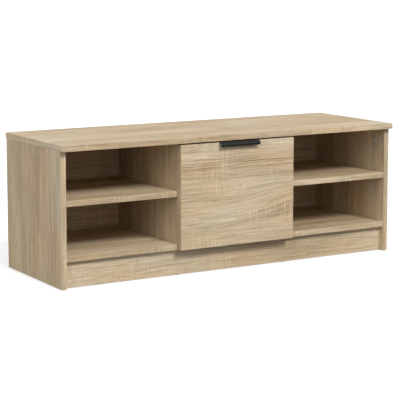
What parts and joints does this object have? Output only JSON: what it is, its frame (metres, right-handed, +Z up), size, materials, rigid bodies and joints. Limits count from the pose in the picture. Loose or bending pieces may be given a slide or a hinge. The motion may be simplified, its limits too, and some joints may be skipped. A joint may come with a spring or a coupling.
{
  "type": "television stand",
  "caption": "Low wood-grain television stand: open shelved bays either side of a middle bay closed by a drop-down flap with a dark edge-pull handle.",
  "frame": {"origin": "on the floor under the middle of the overall box, from the lip of the handle to the rear edge of the top", "axes": "+Z up, the front with the flap faces -Y, +X along the width to the right seen from the front"},
  "size_m": [1.02, 0.3634, 0.365],
  "materials": {
    "oak_board": "wood-grain laminate, matt",
    "oak_band": "wood-grain edge band, matt",
    "hardboard": "thin board with a printed face, matt",
    "zinc_cam": "die-cast, dull",
    "plated_steel": "zinc plated",
    "nickel_hinge": "nickel plated",
    "stay_steel": "zinc plated",
    "beech": "plain",
    "black_metal": "fine matt powder coat",
    "tan_plastic": "moulded, matt",
    "grey_plastic": "moulded, matt",
    "magnet": "dull",
    "soft_clear": "soft, milky"
  },
  "bodies": {
    "cabinet": {"back_panel": "hardboard", "back_panel_nails": "plated_steel", "bottom_edge_band": "oak_band", "bottom_panel": "oak_board", "cam_bolts": "plated_steel", "cam_locks": "zinc_cam", "catch_case_screws": "plated_steel", "catch_magnet": "magnet", "corner_block_screws": "plated_steel", "corner_blocks": "tan_plastic", "divider_edge_bands": "oak_band", "divider_left": "oak_board", "divider_right": "oak_board", "divider_screws": "plated_steel", "dowels": "beech", "floor_glides": "tan_plastic", "front_plinth": "oak_board", "hinge_arm_left": "nickel_hinge", "hinge_arm_right": "nickel_hinge", "hinge_plate_left": "nickel_hinge", "hinge_plate_right": "nickel_hinge", "hinge_plate_screws": "plated_steel", "hinge_setting_screws": "plated_steel", "magnetic_catch_case": "grey_plastic", "rear_rail": "oak_board", "shelf_edge_bands": "oak_band", "shelf_left": "oak_board", "shelf_pins": "plated_steel", "shelf_right": "oak_board", "side_edge_bands": "oak_band", "side_panel_left": "oak_board", "side_panel_right": "oak_board", "stay_base": "stay_steel", "stay_base_screws": "plated_steel", "top_edge_band": "oak_band", "top_panel": "oak_board"},
    "door": {"door_panel": "oak_board", "door_edge_band": "oak_band", "door_handle": "black_metal", "handle_screws": "plated_steel", "door_bumpers": "soft_clear", "hinge_cup_left": "nickel_hinge", "hinge_cup_right": "nickel_hinge", "hinge_cup_screws": "plated_steel", "hinge_pins": "nickel_hinge", "stay_bracket": "stay_steel", "stay_bracket_screws": "plated_steel", "stay_rivet": "stay_steel", "catch_strike_plate": "stay_steel", "catch_strike_screw": "plated_steel"},
    "stay_arm": {"stay_arm": "stay_steel", "stay_stop": "grey_plastic"},
    "stay_guide": {"stay_guide": "grey_plastic"}
  },
  "joints": [
    {"name": "flap_hinge", "type": "hinge", "parent": "cabinet", "child": "door", "pos_m": [0, -0.16075, 0.0777], "axis": [1, 0, 0], "range_deg": [0, 90]},
    {"name": "stay_arm_pivot", "type": "hinge", "parent": "door", "child": "stay_arm", "pos_m": [0.15117, -0.14475, 0.20671], "axis": [1, 0, 0], "range_deg": [-45, 0]},
    {"name": "stay_guide_pivot", "type": "hinge", "parent": "cabinet", "child": "stay_guide", "pos_m": [0.15117, -0.09173, 0.18786], "axis": [1, 0, 0], "range_deg": [0, 45]}
  ],
  "couplings": [
    {"joint": "stay_arm_pivot", "follows": "flap_hinge", "ratio": -0.5},
    {"joint": "stay_guide_pivot", "follows": "flap_hinge", "ratio": 0.5}
  ]
}
